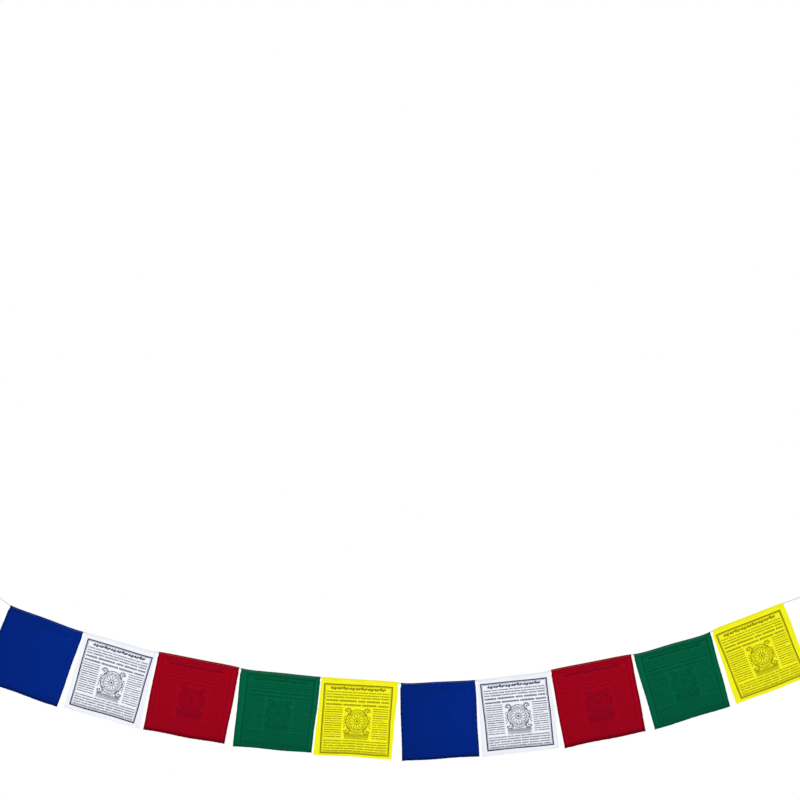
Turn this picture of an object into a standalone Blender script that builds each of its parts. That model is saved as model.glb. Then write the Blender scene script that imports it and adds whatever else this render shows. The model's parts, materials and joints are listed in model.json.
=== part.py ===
"""A string of ten small printed cloth flags on one thin cord, hung in a shallow sag.

Metres. +X runs to the right along the string, +Z is up, and the flags face -Y.
The origin is the far end of the left end loop, where the string hangs from its hook.
"""

import math
from collections import namedtuple

import bmesh
import bpy
from mathutils import Vector

MM = 0.001

# Cord and end loops
CORD_RADIUS = 0.0008
STEPS_BETWEEN_ROUTE_POINTS = 3
FINE_STEPS = 24
LEFT_END = Vector((0.0, 0.0, 0.0))
RIGHT_END = Vector((1.923, 0.0, -0.009))
TOUCH_GAP = 0.0003
KNOT_LENGTH = 0.0075
KNOT_RADIUS = 0.0026
KNOT_RIDGES = 3
KNOT_RIDGE_DEPTH = 0.14
KNOT_SLANT_TURNS = 0.9
KNOT_FULLNESS = 0.55
KNOT_SIDES = 12
KNOT_RINGS = 6
LOOP_HALF_WIDTH = 0.0048
LOOP_NECK = 0.55
LOOP_STEPS = 28
LOOP_SIDES = 8
TAIL_LENGTH = 0.014
TAIL_DROOP = 0.35
TAIL_DOWN = 1.6
TAIL_FORWARD = 0.5
TAIL_STEPS = 5

# Flags: the cloth, and its sleeve around the cord
CLOTH = 0.001
SLEEVE_GAP = 0.0006
SLEEVE_INNER = CORD_RADIUS + SLEEVE_GAP
SLEEVE_OUTER = SLEEVE_INNER + CLOTH
FLAP_END = 0.0040
FLAP_STEP = 0.0004

# How the cloth waves, more and more towards its bottom edge, with waves that drift sideways on their way down
WAVE_GROWTH = 1.5
WAVE_DRIFT = 0.12

# How far each cut edge strays from straight, in how many waves, and how these shift from flag to flag
EDGE_WANDER = 0.0007
LEFT_WAVES = 0.9
RIGHT_WAVES = 1.2
RIGHT_SHIFT = 2.3
BOTTOM_WAVES = 1.4
BOTTOM_SHIFT = 1.7

# How finely each flag is divided
SLEEVE_SIDES = 8
COLUMNS = 11
ROWS = 6

# The cord's middle line between its two end knots, as (x, z)
CORD_ROUTE = [
    (0.0253, -0.0211),
    (0.0355, -0.0296),
    (0.0450, -0.0374),
    (0.0599, -0.0463),
    (0.1395, -0.0757),
    (0.2116, -0.1024),
    (0.2430, -0.1102),
    (0.3116, -0.1297),
    (0.3801, -0.1493),
    (0.4129, -0.1544),
    (0.4930, -0.1700),
    (0.5731, -0.1855),
    (0.6038, -0.1931),
    (0.6826, -0.2013),
    (0.7614, -0.2095),
    (0.7918, -0.2117),
    (0.8668, -0.2166),
    (0.9418, -0.2216),
    (0.9729, -0.2254),
    (1.0463, -0.2221),
    (1.1197, -0.2188),
    (1.1516, -0.2160),
    (1.2216, -0.2073),
    (1.2915, -0.1987),
    (1.3221, -0.1913),
    (1.4020, -0.1757),
    (1.4819, -0.1602),
    (1.5135, -0.1558),
    (1.5896, -0.1337),
    (1.6657, -0.1117),
    (1.6956, -0.0969),
    (1.7653, -0.0699),
    (1.8407, -0.0408),
    (1.8660, -0.0326),
    (1.8929, -0.0226),
]

# Each flag: its gap from the one before along the cord, its width at the sleeve,
# how far each bottom corner lies to the right of the sleeve's end above it and
# below the top edge, then how its bottom edge leans out and ripples, all in mm
Flag = namedtuple("Flag", "name gap width left_in left_drop right_in right_drop lean ripple turns phase")
FLAGS = [
    Flag("flag_01_blue", 37.0, 181.6, -8.6, 190.2, 1.5, 186.6, -3.0, 2.6, 1.1, 0.10),
    Flag("flag_02_white", 4.5, 170.5, -3.4, 184.0, 8.6, 184.5, 2.0, 2.2, 0.9, 0.55),
    Flag("flag_03_red", 5.3, 191.7, -0.9, 185.7, -1.0, 182.8, -1.0, 3.0, 1.3, 0.30),
    Flag("flag_04_green", 2.6, 187.0, 1.7, 183.6, -2.1, 179.4, 3.0, 2.4, 1.0, 0.80),
    Flag("flag_05_yellow", 1.8, 179.0, -6.4, 182.8, -4.3, 180.6, -2.0, 2.8, 1.2, 0.05),
    Flag("flag_06_blue", 3.7, 174.7, -2.3, 183.7, 3.3, 178.8, 1.0, 2.5, 1.0, 0.45),
    Flag("flag_07_white", 4.0, 168.8, -10.8, 180.9, 0.0, 183.7, -3.0, 2.2, 1.3, 0.70),
    Flag("flag_08_red", 3.0, 191.4, -1.6, 185.4, -1.1, 182.9, 2.0, 3.0, 0.9, 0.20),
    Flag("flag_09_green", 4.2, 186.9, -0.2, 183.8, -4.1, 181.2, -1.5, 2.6, 1.2, 0.60),
    Flag("flag_10_yellow", 3.7, 178.6, -8.7, 180.7, -0.9, 183.6, 2.5, 2.4, 1.1, 0.90),
]

# Linear colours
CLOTH_COLOURS = {
    "blue": (0.0016, 0.0205, 0.2200),
    "white": (0.8600, 0.8750, 0.9300),
    "red": (0.3350, 0.0020, 0.0110),
    "green": (0.0015, 0.1110, 0.0500),
    "yellow": (0.8700, 0.8300, 0.0200),
}
CORD_COLOUR = (0.5200, 0.4900, 0.4100)
CLOTH_ROUGHNESS = 0.85
CLOTH_SHARP_ANGLE = math.radians(35)
CORD_SHARP_ANGLE = math.radians(60)

FRONT = Vector((0.0, -1.0, 0.0))


def clear_scene():
    for obj in list(bpy.data.objects):
        bpy.data.objects.remove(obj, do_unlink=True)


def fabric(name, colour):
    material = bpy.data.materials.new(name)
    material.use_nodes = True
    shader = material.node_tree.nodes["Principled BSDF"]
    shader.inputs["Base Color"].default_value = (*colour, 1.0)
    shader.inputs["Roughness"].default_value = CLOTH_ROUGHNESS
    shader.inputs["Metallic"].default_value = 0.0
    return material


def add_object(name, data, material):
    obj = bpy.data.objects.new(name, data)
    data.materials.append(material)
    bpy.context.scene.collection.objects.link(obj)
    return obj


def add_mesh(name, bm, material, sharp_angle):
    bmesh.ops.recalc_face_normals(bm, faces=bm.faces)
    mesh = bpy.data.meshes.new(name)
    bm.to_mesh(mesh)
    bm.free()
    mesh.shade_smooth()
    mesh.set_sharp_from_angle(angle=sharp_angle)
    return add_object(name, mesh, material)


def smooth_curve(points, steps):
    """Points on a centripetal Catmull-Rom curve through the given ones."""
    first = points[0] + (points[0] - points[1])
    last = points[-1] + (points[-1] - points[-2])
    padded = [first, *points, last]
    curve = []
    for p0, p1, p2, p3 in zip(padded, padded[1:], padded[2:], padded[3:]):
        t1 = math.sqrt((p1 - p0).length)
        t2 = t1 + math.sqrt((p2 - p1).length)
        t3 = t2 + math.sqrt((p3 - p2).length)
        for step in range(steps):
            t = t1 + (t2 - t1) * step / steps
            a = p0.lerp(p1, t / t1)
            b = p1.lerp(p2, (t - t1) / (t2 - t1))
            c = p2.lerp(p3, (t - t2) / (t3 - t2))
            ab = a.lerp(b, t / t2)
            bc = b.lerp(c, (t - t1) / (t3 - t1))
            curve.append(ab.lerp(bc, (t - t1) / (t2 - t1)))
    curve.append(points[-1])
    return curve


class Line:
    """A finely divided curve that is read by the distance along it."""

    def __init__(self, points):
        self.points = points
        self.distances = [0.0]
        for before, after in zip(points, points[1:]):
            self.distances.append(self.distances[-1] + (after - before).length)

    def at(self, distance):
        for i in range(1, len(self.points)):
            if distance <= self.distances[i]:
                break
        span = self.distances[i] - self.distances[i - 1]
        return self.points[i - 1].lerp(self.points[i], (distance - self.distances[i - 1]) / span)


def sleeve_ring(radius):
    """(forward, down) of the sleeve's wall at this radius, from its front foot over the top to the back."""
    foot = math.asin(CLOTH / SLEEVE_OUTER)
    ring = []
    for side in range(SLEEVE_SIDES + 1):
        angle = foot + (math.tau - 2 * foot) * side / SLEEVE_SIDES
        ring.append((radius * math.sin(angle), radius * math.cos(angle)))
    return ring


def sheet_rows(height):
    """(down, front face, back face) of the cloth below the sleeve's foot, the faces as distances forward."""
    rows = [(FLAP_END, CLOTH, -CLOTH), (FLAP_END + FLAP_STEP, 0.0, -CLOTH)]
    top = rows[-1][0]
    for row in range(1, ROWS + 1):
        rows.append((top + (height - top) * row / ROWS, 0.0, -CLOTH))
    return rows


class FlagShape:
    """Where a flag's cloth lies: s runs from 0 to 1 along its sleeve, and down is how far below the cord."""

    def __init__(self, flag, line, start):
        self.line = line
        self.start = start
        self.width = flag.width * MM
        self.lean = flag.lean * MM
        self.ripple = flag.ripple * MM
        self.turns = flag.turns
        self.phase = flag.phase
        left = line.at(start)
        right = line.at(start + self.width)
        self.along = (right - left).normalized()
        self.down = self.along.cross(FRONT)
        self.bottom_left = left + self.along * flag.left_in * MM
        self.bottom_left += self.down * (flag.left_drop * MM - SLEEVE_OUTER)
        self.bottom_right = right + self.along * flag.right_in * MM
        self.bottom_right += self.down * (flag.right_drop * MM - SLEEVE_OUTER)
        self.height = 0.5 * (flag.left_drop + flag.right_drop) * MM - SLEEVE_OUTER

    def cord_point(self, s):
        return self.line.at(self.start + s * self.width)

    def wave(self, s, t):
        ripple = math.sin(math.tau * (self.turns * s + self.phase + WAVE_DRIFT * t))
        return t**WAVE_GROWTH * (self.lean + self.ripple * ripple)

    def wander(self, s, t):
        """The unevenness of the cut sides and of the bottom edge."""
        left = math.sin(math.tau * (LEFT_WAVES * t + self.phase))
        right = math.sin(math.tau * (RIGHT_WAVES * t + RIGHT_SHIFT * self.phase))
        bottom = math.sin(math.tau * (BOTTOM_WAVES * s + BOTTOM_SHIFT * self.phase))
        side = (1 - s) * left + s * right
        return (self.along * side * math.sin(math.pi * t) + self.down * bottom * t**3) * EDGE_WANDER

    def point(self, s, down, forward):
        t = max(0.0, down / self.height)
        place = self.cord_point(s).lerp(self.bottom_left.lerp(self.bottom_right, s), t)
        return place + self.wander(s, t) + FRONT * (forward + self.wave(s, t))


def flag_section(bm, shape, s):
    """One cross-section of a flag, as rings of vertices."""
    cord = shape.cord_point(s)
    rings = []
    for radius in (SLEEVE_INNER, SLEEVE_OUTER):
        ring = []
        for forward, down in sleeve_ring(radius):
            ring.append(bm.verts.new(cord + FRONT * forward + shape.down * down))
        rings.append(ring)
    inner, outer = rings
    front = [outer[0]]
    back = [outer[-1]]
    for down, front_face, back_face in sheet_rows(shape.height):
        front.append(bm.verts.new(shape.point(s, down, front_face)))
        back.append(bm.verts.new(shape.point(s, down, back_face)))
    return inner, outer, front, back


def wall(bm, before, after):
    for i in range(len(before) - 1):
        bm.faces.new((before[i], before[i + 1], after[i + 1], after[i]))


def end_face(bm, section):
    inner, outer, front, back = section
    wall(bm, inner, outer)
    bm.faces.new((inner[0], inner[-1], outer[-1], outer[0]))
    wall(bm, front, back)


def make_flag(flag, line, start, material):
    shape = FlagShape(flag, line, start)
    bm = bmesh.new()
    sections = [flag_section(bm, shape, column / COLUMNS) for column in range(COLUMNS + 1)]
    for before, after in zip(sections, sections[1:]):
        inner, outer, front, back = before
        next_inner, next_outer, next_front, next_back = after
        wall(bm, [*inner, inner[0]], [*next_inner, next_inner[0]])
        wall(bm, outer, next_outer)
        wall(bm, front, next_front)
        wall(bm, back, next_back)
        bm.faces.new((front[-1], back[-1], next_back[-1], next_front[-1]))
    end_face(bm, sections[0])
    end_face(bm, sections[-1])
    return add_mesh(flag.name, bm, material, CLOTH_SHARP_ANGLE)


def make_cord(points, material):
    curve = bpy.data.curves.new("cord", "CURVE")
    curve.dimensions = "3D"
    curve.bevel_depth = CORD_RADIUS
    curve.bevel_resolution = 2
    curve.use_fill_caps = True
    spline = curve.splines.new("POLY")
    spline.points.add(len(points) - 1)
    for target, point in zip(spline.points, points):
        target.co = (*point, 1.0)
    return add_object("cord", curve, material)


def add_ring(bm, centre, along, radii):
    """Vertices around a point, one at each radius in turn."""
    across = along.cross(FRONT).normalized()
    forward = across.cross(along).normalized()
    ring = []
    for i, radius in enumerate(radii):
        angle = math.tau * i / len(radii)
        ring.append(bm.verts.new(centre + (across * math.cos(angle) + forward * math.sin(angle)) * radius))
    return ring


def join_rings(bm, rings):
    for before, after in zip(rings, rings[1:]):
        wall(bm, [*before, before[0]], [*after, after[0]])


def cap(bm, ring, tip):
    point = bm.verts.new(tip)
    for i in range(len(ring)):
        bm.faces.new((ring[i - 1], ring[i], point))


def knot_mesh(start, away):
    """A small tight knot from start, its strands ridged around it on a slant."""
    bm = bmesh.new()
    rings = []
    for step in range(1, KNOT_RINGS + 1):
        share = step / (KNOT_RINGS + 1)
        radius = KNOT_RADIUS * math.sin(math.pi * share) ** KNOT_FULLNESS
        radii = []
        for i in range(KNOT_SIDES):
            slant = math.tau * (KNOT_RIDGES * i / KNOT_SIDES + KNOT_SLANT_TURNS * share)
            radii.append(radius * (1 + KNOT_RIDGE_DEPTH * math.cos(slant)))
        rings.append(add_ring(bm, start + away * KNOT_LENGTH * share, away, radii))
    join_rings(bm, rings)
    cap(bm, rings[0], start)
    cap(bm, rings[-1], start + away * KNOT_LENGTH)
    return bm


def loop_mesh(start, end, away):
    """A closed teardrop of cord whose narrow end is hidden in the knot."""
    bm = bmesh.new()
    across = away.cross(FRONT).normalized()
    length = (end - start).length
    rings = []
    for step in range(LOOP_STEPS):
        turn = math.tau * step / LOOP_STEPS
        reach = 0.5 * (1 - math.cos(turn))
        width = LOOP_HALF_WIDTH * math.sin(turn) * (LOOP_NECK + (1 - LOOP_NECK) * reach)
        slope_reach = 0.5 * math.sin(turn)
        slope_width = LOOP_HALF_WIDTH * math.cos(turn)
        direction = (away * length * slope_reach + across * slope_width).normalized()
        centre = start + away * length * reach + across * width
        rings.append(add_ring(bm, centre, direction, [CORD_RADIUS] * LOOP_SIDES))
    join_rings(bm, [*rings, rings[0]])
    return bm


def tail_mesh(start, direction):
    """The knot's short free end, hanging from it."""
    bm = bmesh.new()
    rings = []
    for step in range(TAIL_STEPS + 1):
        share = step / TAIL_STEPS
        bend = Vector((0.0, 0.0, -TAIL_DROOP * TAIL_LENGTH * share**2))
        centre = start + direction * TAIL_LENGTH * share + bend
        rings.append(add_ring(bm, centre, direction, [CORD_RADIUS] * LOOP_SIDES))
    join_rings(bm, rings)
    bm.faces.new(rings[0])
    bm.faces.new(rings[-1])
    return bm


def make_end_loop(name, cord_end, far_end, material):
    """The knot, its loop and its free end as one solid."""
    away = (far_end - cord_end).normalized()
    knot_start = cord_end + away * TOUCH_GAP
    knot_middle = knot_start + away * KNOT_LENGTH * 0.5
    knot = add_mesh(name, knot_mesh(knot_start, away), material, CORD_SHARP_ANGLE)
    hanging = (-away + Vector((0.0, 0.0, -TAIL_DOWN)) + FRONT * TAIL_FORWARD).normalized()
    helpers = {
        "loop": loop_mesh(knot_middle + away * CORD_RADIUS, far_end, away),
        "tail": tail_mesh(knot_middle + hanging * CORD_RADIUS, hanging),
    }
    for part, bm in helpers.items():
        helper = add_mesh(f"{name}_{part}_helper", bm, material, CORD_SHARP_ANGLE)
        helper.hide_render = True
        helper.display_type = "WIRE"
        union = knot.modifiers.new(part, "BOOLEAN")
        union.operation = "UNION"
        union.object = helper
    return knot


def main():
    clear_scene()
    cord_fabric = fabric("cord", CORD_COLOUR)
    cloths = {name: fabric(f"cloth_{name}", colour) for name, colour in CLOTH_COLOURS.items()}
    route = [Vector((x, 0.0, z)) for x, z in CORD_ROUTE]
    fine_line = Line(smooth_curve(route, FINE_STEPS))
    start = 0.0
    for flag in FLAGS:
        start += flag.gap * MM
        make_flag(flag, fine_line, start, cloths[flag.name.split("_")[-1]])
        start += flag.width * MM
    make_cord(smooth_curve(route, STEPS_BETWEEN_ROUTE_POINTS), cord_fabric)
    make_end_loop("end_loop_left", route[0], LEFT_END, cord_fabric)
    make_end_loop("end_loop_right", route[-1], RIGHT_END, cord_fabric)


main()
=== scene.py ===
"""Looks of a string of ten printed cotton flags on one thin cord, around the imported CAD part.

Metres. +X runs to the right along the string, +Z is up, and the flags' printed faces look towards -Y.
"""

import json
import math
import random
from collections import namedtuple

import bpy
import numpy as np
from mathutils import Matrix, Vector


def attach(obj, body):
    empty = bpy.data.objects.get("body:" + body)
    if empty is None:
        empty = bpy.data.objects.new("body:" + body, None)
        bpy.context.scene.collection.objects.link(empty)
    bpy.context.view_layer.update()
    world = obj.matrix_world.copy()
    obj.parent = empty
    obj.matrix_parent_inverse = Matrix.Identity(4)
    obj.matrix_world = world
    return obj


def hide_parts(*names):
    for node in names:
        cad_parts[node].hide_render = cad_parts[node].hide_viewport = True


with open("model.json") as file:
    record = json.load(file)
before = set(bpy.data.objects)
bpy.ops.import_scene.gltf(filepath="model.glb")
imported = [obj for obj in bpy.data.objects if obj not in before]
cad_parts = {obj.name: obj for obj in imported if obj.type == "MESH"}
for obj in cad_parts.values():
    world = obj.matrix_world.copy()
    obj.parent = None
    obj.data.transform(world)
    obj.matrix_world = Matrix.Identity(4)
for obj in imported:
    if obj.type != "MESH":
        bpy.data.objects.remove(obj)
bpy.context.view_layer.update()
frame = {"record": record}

MM = 0.001

# The photograph's frame, at the plane in which the string hangs
PIXEL = 2.32 * MM
FRAME_PIXELS = 800
ORIGIN_PIXEL_X = -13.4
ORIGIN_PIXEL_Y = 586.5
LENS_MM = 200.0
SENSOR_MM = 36.0
FARTHEST_SEEN = 200.0

FRONT = (0.0, -1.0, 0.0)

# Faces that meet at more than so many degrees have a sharp edge between them
CLOTH_SHARP = 60
CORD_SHARP = 80
NEVER_SHARP = 180

# Cord, knots and end loops
CORD_RADIUS = 0.8 * MM
CORD_TWIST = 5.0 * MM
CORD_STEP = 0.85 * MM
CORD_SIDES = 12
CORD_STRANDS = 3
STRAND_DEPTH = 0.11
CURVE_STEPS = 24
MOUNTS = {mount["name"]: mount["pos_m"] for mount in frame["record"]["mounts"]}
KNOT_LENGTH = 7.5 * MM
KNOT_ACROSS = 0.72 * MM
KNOT_ALONG = 0.98 * MM
KNOT_DEPTH = 0.95 * MM
TIGHTENED = 0.95
CORD_IN_KNOT = 0.4
LOOP_STEP = 0.5 * MM
LOOP_HALF_WIDTH = 4.8 * MM
LOOP_NECK = 0.55
LOOP_CROSSING = 0.5 * MM
TAIL_LENGTH = 14.0 * MM
TAIL_DROOP = 0.35
TAIL_DOWN = 1.6
TAIL_FORWARD = 0.5
TAIL_FIBRES = 14
FIBRE_RADIUS = 0.09 * MM

# Cloth: its thickness, and its sleeve around the cord as distances from the cord's middle
CLOTH = 0.30 * MM
SLEEVE_RADIUS = 1.08 * MM
SLEEVE_TOP = SLEEVE_RADIUS + CLOTH / 2
STITCH_DOWN = 1.75 * MM
SEWN_DOWN = STITCH_DOWN + 0.15 * MM
SEAM_DOWN = STITCH_DOWN + 0.30 * MM
FLAP_END = 3.1 * MM
SHEET_FORWARD = -0.35 * MM
FLAP_FORWARD = SHEET_FORWARD + CLOTH + 0.04 * MM
CAD_SLEEVE_OUTER = 2.4 * MM

# The cloth's long waves, and how its sides and bottom edge stray, the same as in the CAD
WAVE_GROWTH = 1.5
WAVE_DRIFT = 0.12
EDGE_WANDER = 0.7 * MM
LEFT_WAVES = 0.9
RIGHT_WAVES = 1.2
RIGHT_SHIFT = 2.3
BOTTOM_WAVES = 1.4
BOTTOM_SHIFT = 1.7

# What only the scene's cloth has: puckers below the sewing, curled and roughly cut edges, a weave with
# slubs, and a sleeve whose cut ends stand a little inside the sides
PUCKER_HEIGHT = 0.16 * MM
PUCKER_REACH = 9.0 * MM
PUCKER_START = 0.025
PUCKER_RATES = (61, 37)
SLOW_PUCKERS = 0.7
SIDE_CURL = 0.30 * MM
HEM_CURL = 0.24 * MM
CURL_REACH = 5.0 * MM
CURLS_ALONG = 2.3
CURLS_DOWN = 1.7
CURL_SHIFT = 1.9
EDGE_ROUGHNESS = 0.22 * MM
ROUGH_REACH = 1.5 * MM
ROUGH_WAVES = 7
ROUGH_RATES = (4, 22)
WEAVE_PITCH = 0.55 * MM
SLUB_LENGTHWAYS = 60.0
SLUB_ACROSS = 1500.0
LEFT_INSETS = (0.9 * MM, 1.9 * MM)
RIGHT_INSETS = (0.4 * MM, 1.2 * MM)

# The print's random seed, and what each flag's number is added to for its own
PRINT_SEED = 7
FLAG_SEED = 40

# Sewing and loose threads
STITCH_PITCH = 3.8 * MM
STITCH_LENGTH = 2.8 * MM
STITCH_RADIUS = 0.11 * MM
STITCH_SWAY = 0.12 * MM
STITCH_RISE = 0.10 * MM
STITCH_SUNK = 0.05 * MM
BACK_SHIFT = 0.25
SEAM_INSET = 0.6 * MM
THREAD_TAILS = (3 * MM, 7 * MM)
FRAY_PITCH = 1.5 * MM
FRAY_RADIUS = 0.07 * MM
FRAY_REACH = (0.2 * MM, 0.7 * MM)
LONG_FRAY_SHARE = 0.04
LONG_FRAY_GROWTH = (3, 6)
BUNDLE_THREADS = 7
BUNDLE_REACH = (2.0 * MM, 5.5 * MM)
THREAD_FOOT = 0.9 * MM

# How finely the cloth is divided, with closer lines beside its cut edges
COLUMNS = 62
SHEET_ROWS = 60
ROW_EVENNESS = 0.55
HEADER_ROWS = 4
EDGE_LINES = (0.0, 0.6 * MM, 1.5 * MM, 2.6 * MM, 3.8 * MM, 5.2 * MM, 6.8 * MM)

# Painted shade: how strongly and how far in from each edge the cloth is darkened, standing in for shade
# along the cut sides, at the curled bottom hem and below the sleeve's fold, how dark the cloth gets there at
# most, how much painted shade darkens it towards the bottom, and how strong a cloth's edge shade must be to
# get that too
SIDE_PAINTED_SHADE = (0.50, 5.0 * MM)
BOTTOM_PAINTED_SHADE = (0.80, 7.3 * MM)
TOP_PAINTED_SHADE = (0.28, 9.0 * MM)
DARKEST_PAINTED_SHADE = 0.2
LOW_PAINTED_SHADE = 0.14
PALE_EDGE = 0.1

# The cord's middle line between its two end knots, as (x, z), the same points as in the CAD
CORD_ROUTE = [
    (0.0253, -0.0211), (0.0355, -0.0296), (0.0450, -0.0374), (0.0599, -0.0463), (0.1395, -0.0757),
    (0.2116, -0.1024), (0.2430, -0.1102), (0.3116, -0.1297), (0.3801, -0.1493), (0.4129, -0.1544),
    (0.4930, -0.1700), (0.5731, -0.1855), (0.6038, -0.1931), (0.6826, -0.2013), (0.7614, -0.2095),
    (0.7918, -0.2117), (0.8668, -0.2166), (0.9418, -0.2216), (0.9729, -0.2254), (1.0463, -0.2221),
    (1.1197, -0.2188), (1.1516, -0.2160), (1.2216, -0.2073), (1.2915, -0.1987), (1.3221, -0.1913),
    (1.4020, -0.1757), (1.4819, -0.1602), (1.5135, -0.1558), (1.5896, -0.1337), (1.6657, -0.1117),
    (1.6956, -0.0969), (1.7653, -0.0699), (1.8407, -0.0408), (1.8660, -0.0326), (1.8929, -0.0226),
]

# Each flag in mm, the same as in the CAD
Flag = namedtuple("Flag", "name gap width left_in left_drop right_in right_drop lean ripple turns phase")
FLAGS = [
    Flag("flag_01_blue", 37.0, 181.6, -8.6, 190.2, 1.5, 186.6, -3.0, 2.6, 1.1, 0.10),
    Flag("flag_02_white", 4.5, 170.5, -3.4, 184.0, 8.6, 184.5, 2.0, 2.2, 0.9, 0.55),
    Flag("flag_03_red", 5.3, 191.7, -0.9, 185.7, -1.0, 182.8, -1.0, 3.0, 1.3, 0.30),
    Flag("flag_04_green", 2.6, 187.0, 1.7, 183.6, -2.1, 179.4, 3.0, 2.4, 1.0, 0.80),
    Flag("flag_05_yellow", 1.8, 179.0, -6.4, 182.8, -4.3, 180.6, -2.0, 2.8, 1.2, 0.05),
    Flag("flag_06_blue", 3.7, 174.7, -2.3, 183.7, 3.3, 178.8, 1.0, 2.5, 1.0, 0.45),
    Flag("flag_07_white", 4.0, 168.8, -10.8, 180.9, 0.0, 183.7, -3.0, 2.2, 1.3, 0.70),
    Flag("flag_08_red", 3.0, 191.4, -1.6, 185.4, -1.1, 182.9, 2.0, 3.0, 0.9, 0.20),
    Flag("flag_09_green", 4.2, 186.9, -0.2, 183.8, -4.1, 181.2, -1.5, 2.6, 1.2, 0.60),
    Flag("flag_10_yellow", 3.7, 178.6, -8.7, 180.7, -0.9, 183.6, 2.5, 2.4, 1.1, 0.90),
]

# Where each flag's print starts, in mm from the sleeve's left end, how many degrees it is turned, and
# how wide and high it is, since each piece of cloth is stretched a little differently
Block = namedtuple("Block", "inward down turn wide high")
BLOCKS = [
    Block(11.0, 13.5, 0.3, 160.0, 161.0),
    Block(9.2, 12.9, 0.8, 156.8, 158.7),
    Block(10.5, 11.2, -0.1, 166.7, 163.8),
    Block(17.3, 8.6, 0.4, 158.5, 161.8),
    Block(6.9, 14.0, -0.4, 159.9, 161.0),
    Block(9.0, 13.5, -0.5, 158.0, 160.0),
    Block(5.9, 11.4, 1.0, 155.2, 157.6),
    Block(10.5, 10.5, 0.2, 168.2, 163.8),
    Block(15.4, 8.1, 0.8, 159.4, 162.0),
    Block(5.4, 13.9, -0.2, 159.8, 159.8),
]

# Linear colours of each cloth, of the ink on it, and of the deeper ink in some parts of its print,
# how strongly painted shade darkens its cut edges, and how much more painted shade darkens its
# left side than its right
Dye = namedtuple("Dye", "cloth ink deep_ink deep_parts edge uneven")
DYES = {
    "blue": Dye(
        (0.0016, 0.0218, 0.2300), (0.0014, 0.0172, 0.1900),
        (0.0019, 0.0162, 0.1660), ("frame", "heading"), 0.85, 0.30,
    ),
    "white": Dye((0.8500, 0.8650, 0.9080), (0.0170, 0.0190, 0.0850), None, (), 0.06, 0.0),
    "red": Dye(
        (0.3400, 0.0018, 0.0105), (0.2550, 0.0016, 0.0105),
        (0.1850, 0.0016, 0.0135), ("heading", "panel"), 1.0, 0.0,
    ),
    "green": Dye((0.0014, 0.1080, 0.0480), (0.0012, 0.0640, 0.0290), None, (), 0.55, 0.03),
    "yellow": Dye((0.8950, 0.8600, 0.0140), (0.2250, 0.1960, 0.0034), None, (), 0.06, 0.0),
}
CORD_COLOUR = (0.52, 0.49, 0.41)
THREAD_COLOUR = (0.42, 0.38, 0.22)

# The print block, the layers of its ink, and how much of the ink shows behind and has worn off
BLOCK_WIDTH = 157.0
BLOCK_HEIGHT = 159.0
INK_LIFT = 0.03 * MM
INK_LAYERS = 16
LAYER_LIFT = 0.003 * MM
GHOST_SHARE = 0.32
INK_WEAR = 0.22
GHOST_WEAR = 0.6

# The studio: its lamps, its pale floor, and its surround, which looks white but lights the string less
Lamp = namedtuple("Lamp", "place size power")
LAMPS = {
    "key": Lamp((-1.6, -4.0, 2.6), 2.0, 95.0),
    "fill": Lamp((4.2, -4.5, 0.6), 3.0, 45.0),
    "rear_fill": Lamp((2.6, 4.5, 1.5), 3.0, 80.0),
}
LAMP_TARGET = (0.96, 0.0, -0.2)
FLOOR_SIZE = 14.0
FLOOR_MIDDLE = (0.96, -1.0, -1.35)
FLOOR_TONES = ((0.93, 0.93, 0.93, 1.0), (0.97, 0.97, 0.97, 1.0))
WHITE = (1.0, 1.0, 1.0, 1.0)
GLOW_COLOUR = (0.97, 0.98, 1.0, 1.0)
GLOW_STRENGTH = 0.62


# Curves and meshes

def smooth_curve(points, steps):
    """Points on a centripetal Catmull-Rom curve through the given ones."""
    points = np.array(points, float)
    first = 2 * points[0] - points[1]
    last = 2 * points[-1] - points[-2]
    padded = np.vstack([first, points, last])
    curve = []
    for p0, p1, p2, p3 in zip(padded, padded[1:], padded[2:], padded[3:]):
        t1 = math.sqrt(np.linalg.norm(p1 - p0))
        t2 = t1 + math.sqrt(np.linalg.norm(p2 - p1))
        t3 = t2 + math.sqrt(np.linalg.norm(p3 - p2))
        for t in np.linspace(t1, t2, steps, endpoint=False):
            a = p0 + (p1 - p0) * t / t1
            b = p1 + (p2 - p1) * (t - t1) / (t2 - t1)
            c = p2 + (p3 - p2) * (t - t2) / (t3 - t2)
            ab = a + (b - a) * t / t2
            bc = b + (c - b) * (t - t1) / (t3 - t1)
            curve.append(ab + (bc - ab) * (t - t1) / (t2 - t1))
    curve.append(points[-1])
    return np.array(curve)


class Line:
    """A finely divided curve that is read by the distance along it."""

    def __init__(self, points):
        self.points = np.array(points, float)
        lengths = np.linalg.norm(np.diff(self.points, axis=0), axis=1)
        self.distances = np.concatenate([[0.0], np.cumsum(lengths)])
        self.length = self.distances[-1]

    def at(self, distance):
        columns = [np.interp(distance, self.distances, column) for column in self.points.T]
        return np.stack(columns, axis=-1)


def unit(vectors):
    return vectors / np.linalg.norm(vectors, axis=-1, keepdims=True)


class Soup:
    """Vertices and faces that are gathered into one mesh."""

    def __init__(self):
        self.points = []
        self.faces = []
        self.count = 0

    def add(self, points, faces):
        points = np.asarray(points, float)
        self.points.append(points)
        self.faces.extend(tuple(int(i) + self.count for i in face) for face in faces)
        self.count += len(points)

    def all_points(self):
        return np.concatenate(self.points)

    def make(self, name, material, sharp_degrees=CLOTH_SHARP):
        return make_mesh(name, self.all_points(), self.faces, material, sharp_degrees)


def link(obj):
    bpy.context.scene.collection.objects.link(obj)


def make_mesh(name, points, faces, material, sharp_degrees):
    mesh = bpy.data.meshes.new(name)
    mesh.from_pydata(np.asarray(points).tolist(), [], faces)
    mesh.shade_smooth()
    mesh.set_sharp_from_angle(angle=math.radians(sharp_degrees))
    mesh.materials.append(material)
    obj = bpy.data.objects.new(name, mesh)
    link(obj)
    return obj


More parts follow.
